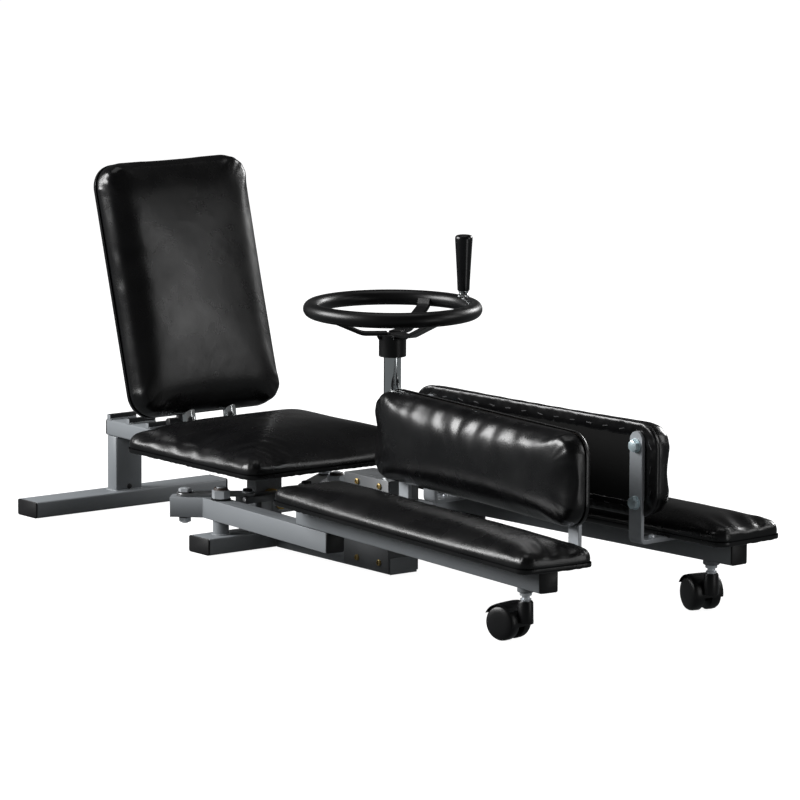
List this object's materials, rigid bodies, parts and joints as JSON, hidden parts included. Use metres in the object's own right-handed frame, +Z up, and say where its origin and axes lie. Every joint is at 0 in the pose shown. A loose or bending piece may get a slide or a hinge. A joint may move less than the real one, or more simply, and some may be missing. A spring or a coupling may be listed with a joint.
{
  "type": "leg stretching machine",
  "caption": "Floor-standing leg stretching machine: padded seat and reclining back on a tube frame, two hinged padded leg carriers on casters spread by a hand wheel.",
  "frame": {"origin": "on the floor, on the underside of the rear foot, below the rear face of the rear post and in the machine's middle plane", "axes": "+X from the back rest towards the feet, +Y to the sitter's left, +Z up"},
  "size_m": [1.2981, 0.4662, 0.5516],
  "materials": {
    "grey_powder_coat": "mid grey satin powder coat",
    "dark_coat": "black satin coat",
    "black_plastic": "black moulded plastic",
    "black_wheel_coat": "black semi-gloss",
    "black_vinyl": "black soft-grain vinyl over foam",
    "pad_board": "plywood covered in thin black cloth",
    "chrome": "bright chrome plate",
    "zinc_steel": "bright zinc plate",
    "flat_steel": "dull rolled steel",
    "brass": "turned brass"
  },
  "bodies": {
    "frame": {"rear_foot_tube": "grey_powder_coat", "rear_foot_cap_left": "black_plastic", "rear_foot_cap_right": "black_plastic", "rear_post": "grey_powder_coat", "main_beam": "grey_powder_coat", "main_beam_cap": "black_plastic", "front_post": "grey_powder_coat", "front_foot_tube": "grey_powder_coat", "front_foot_cap_left": "black_plastic", "front_foot_cap_right": "black_plastic", "lower_beam": "grey_powder_coat", "gear_box_cover": "grey_powder_coat", "gear_box_side_left": "grey_powder_coat", "gear_box_side_right": "grey_powder_coat", "pivot_stud_left": "zinc_steel", "pivot_stud_right": "zinc_steel", "seat_board": "pad_board", "seat_cushion": "black_vinyl", "back_hinge_pin": "zinc_steel"},
    "back_rest": {"back_frame": "chrome", "back_board": "pad_board", "back_cushion": "black_vinyl", "strut_bracket": "dark_coat"},
    "back_strut": {"back_strut": "dark_coat"},
    "handwheel": {"wheel_shaft": "chrome", "bevel_pinion": "flat_steel", "handwheel_rim": "black_wheel_coat", "handwheel_spider": "black_wheel_coat", "grip_spindle": "chrome"},
    "grip": {"grip": "black_plastic"},
    "lead_screw": {"lead_screw": "zinc_steel", "bevel_gear": "flat_steel"},
    "carriage": {"carriage": "flat_steel", "screw_nut": "brass"},
    "leg_left": {"arm_left": "grey_powder_coat", "arm_cap_left": "black_plastic", "leg_tube_left": "grey_powder_coat", "leg_tube_cap_left": "black_plastic", "leg_board_left": "pad_board", "leg_cushion_left": "black_vinyl", "side_board_left": "pad_board", "side_cushion_left": "black_vinyl", "side_bracket_rear_left": "zinc_steel", "side_bracket_front_left": "zinc_steel"},
    "link_left": {"link_left": "flat_steel"},
    "caster_left": {"caster_hood_left": "black_plastic"},
    "caster_wheels_left": {"caster_wheels_left": "black_plastic"},
    "leg_right": {"arm_right": "grey_powder_coat", "arm_cap_right": "black_plastic", "leg_tube_right": "grey_powder_coat", "leg_tube_cap_right": "black_plastic", "leg_board_right": "pad_board", "leg_cushion_right": "black_vinyl", "side_board_right": "pad_board", "side_cushion_right": "black_vinyl", "side_bracket_rear_right": "zinc_steel", "side_bracket_front_right": "zinc_steel"},
    "link_right": {"link_right": "flat_steel"},
    "caster_right": {"caster_hood_right": "black_plastic"},
    "caster_wheels_right": {"caster_wheels_right": "black_plastic"}
  },
  "joints": [
    {"name": "handwheel_spin", "type": "hinge", "parent": "frame", "child": "handwheel", "pos_m": [0.6873, 0, 0.387], "axis": [0, 0, -1], "range_deg": [0, 5886.1]},
    {"name": "grip_spin", "type": "hinge", "parent": "handwheel", "child": "grip", "pos_m": [0.70388, 0.11794, 0.446], "axis": [0, 0, 1], "continuous": true},
    {"name": "lead_screw_spin", "type": "hinge", "parent": "frame", "child": "lead_screw", "pos_m": [0.5, 0, 0.064], "axis": [-1, 0, 0], "range_deg": [0, 5886.1]},
    {"name": "carriage_slide", "type": "slide", "parent": "frame", "child": "carriage", "axis": [1, 0, 0], "range_m": [0, 0.0655]},
    {"name": "leg_left_swing", "type": "hinge", "parent": "frame", "child": "leg_left", "pos_m": [0.413, 0.108, 0.062], "axis": [0, 0, 1], "range_deg": [0, 80]},
    {"name": "link_left_pivot", "type": "hinge", "parent": "leg_left", "child": "link_left", "pos_m": [0.35411, 0.13132, 0.0798], "axis": [0, 0, 1], "range_deg": [-20.9, 0]},
    {"name": "caster_left_swivel", "type": "hinge", "parent": "leg_left", "child": "caster_left", "pos_m": [1.20399, 0.16845, 0.06], "axis": [0, 0, 1], "continuous": true},
    {"name": "caster_left_roll", "type": "hinge", "parent": "caster_left", "child": "caster_wheels_left", "pos_m": [1.17461, 0.1745, 0.025], "axis": [0.2016, 0.9795, 0], "continuous": true},
    {"name": "leg_right_swing", "type": "hinge", "parent": "frame", "child": "leg_right", "pos_m": [0.413, -0.108, 0.062], "axis": [0, 0, -1], "range_deg": [0, 80]},
    {"name": "link_right_pivot", "type": "hinge", "parent": "leg_right", "child": "link_right", "pos_m": [0.35411, -0.13132, 0.0798], "axis": [0, 0, -1], "range_deg": [-20.9, 0]},
    {"name": "caster_right_swivel", "type": "hinge", "parent": "leg_right", "child": "caster_right", "pos_m": [1.20399, -0.16845, 0.06], "axis": [0, 0, 1], "continuous": true},
    {"name": "caster_right_roll", "type": "hinge", "parent": "caster_right", "child": "caster_wheels_right", "pos_m": [1.17461, -0.1745, 0.025], "axis": [-0.2016, 0.9795, 0], "continuous": true},
    {"name": "back_recline", "type": "hinge", "parent": "frame", "child": "back_rest", "pos_m": [0.24, 0, 0.1225], "axis": [0, -1, 0], "range_deg": [0, 37]},
    {"name": "back_strut_swing", "type": "hinge", "parent": "back_rest", "child": "back_strut", "pos_m": [0.18299, 0, 0.26102], "axis": [0, 1, 0], "range_deg": [0, 92.6]}
  ],
  "couplings": [
    {"joint": "leg_left_swing", "follows": "leg_right_swing", "ratio": 1},
    {"joint": "carriage_slide", "follows": "leg_right_swing", "m_per_rad": 0.046839},
    {"joint": "lead_screw_spin", "follows": "leg_right_swing", "ratio": 73.575},
    {"joint": "handwheel_spin", "follows": "leg_right_swing", "ratio": 73.575},
    {"joint": "link_left_pivot", "follows": "leg_right_swing", "ratio": -0.26},
    {"joint": "link_right_pivot", "follows": "leg_right_swing", "ratio": -0.26},
    {"joint": "back_strut_swing", "follows": "back_recline", "ratio": 2.5}
  ]
}
